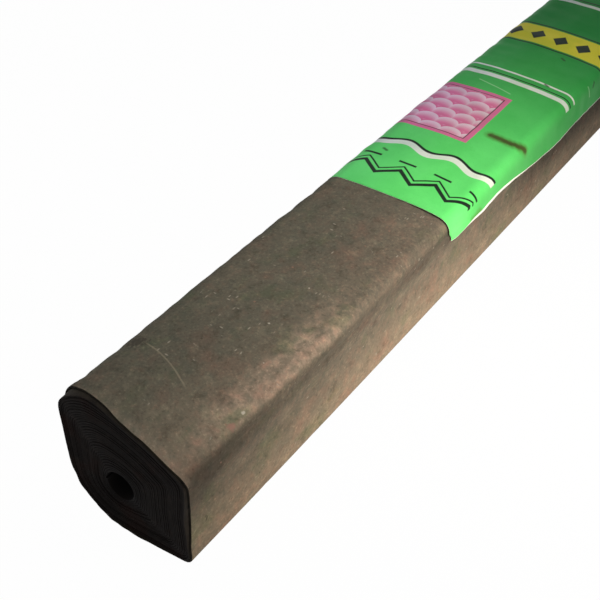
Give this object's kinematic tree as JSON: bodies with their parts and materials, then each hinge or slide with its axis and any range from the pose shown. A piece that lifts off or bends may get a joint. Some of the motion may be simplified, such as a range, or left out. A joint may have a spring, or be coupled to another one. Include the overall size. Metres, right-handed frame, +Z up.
{
  "type": "roll of roofing felt",
  "caption": "Squashed roll of bitumen roofing felt with a pinched ridge, a flat underside, a small bore and a printed paper label pasted over its top and back.",
  "frame": {"origin": "middle of the underside's box: half way along the roll and across its width, on the floor", "axes": "+X along the roll from the end that the picture shows to the far end, +Y from the seen side to the back, +Z up"},
  "size_m": [1, 0.1051, 0.0984],
  "materials": {
    "felt": "matt brown-grey bitumen felt with pale fibre flecks",
    "label_paper": "thin printed paper, half matt"
  },
  "bodies": {
    "root": {"felt_roll": "felt", "paper_label": "label_paper"}
  },
  "joints": []
}
